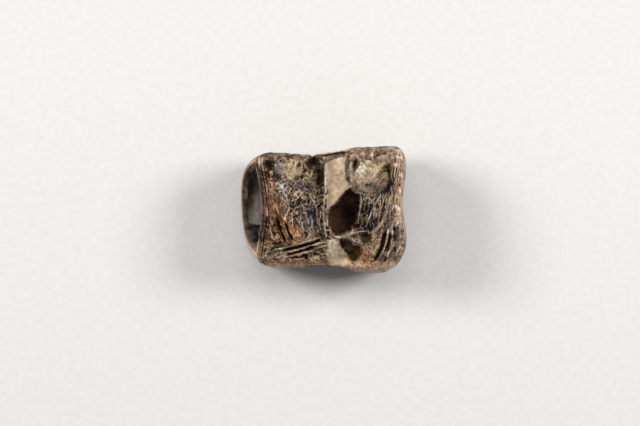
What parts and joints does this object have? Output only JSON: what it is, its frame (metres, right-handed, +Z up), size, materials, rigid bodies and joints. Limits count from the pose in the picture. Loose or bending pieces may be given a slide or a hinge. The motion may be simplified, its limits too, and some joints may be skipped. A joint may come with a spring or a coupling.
{
  "type": "fossil fish vertebra",
  "caption": "Fossil fish vertebra lying on its side: a spool-shaped bone with a cupped face at each end, open pits between its bars and rock left in it.",
  "frame": {"origin": "on the table, under the middle of the bone", "axes": "+X along the fish from the leaning cup to the upright one, +Y to its back, +Z up from the table"},
  "size_m": [0.0292, 0.0226, 0.0213],
  "materials": {
    "fossil_bone": "porous, worn and faintly glossy on the ridges",
    "grey_rock": "smooth, matt",
    "cream_rock": "fine-grained, matt"
  },
  "bodies": {
    "root": {"centrum": "fossil_bone", "cup_crust": "grey_rock", "side_crust": "cream_rock"}
  },
  "joints": []
}
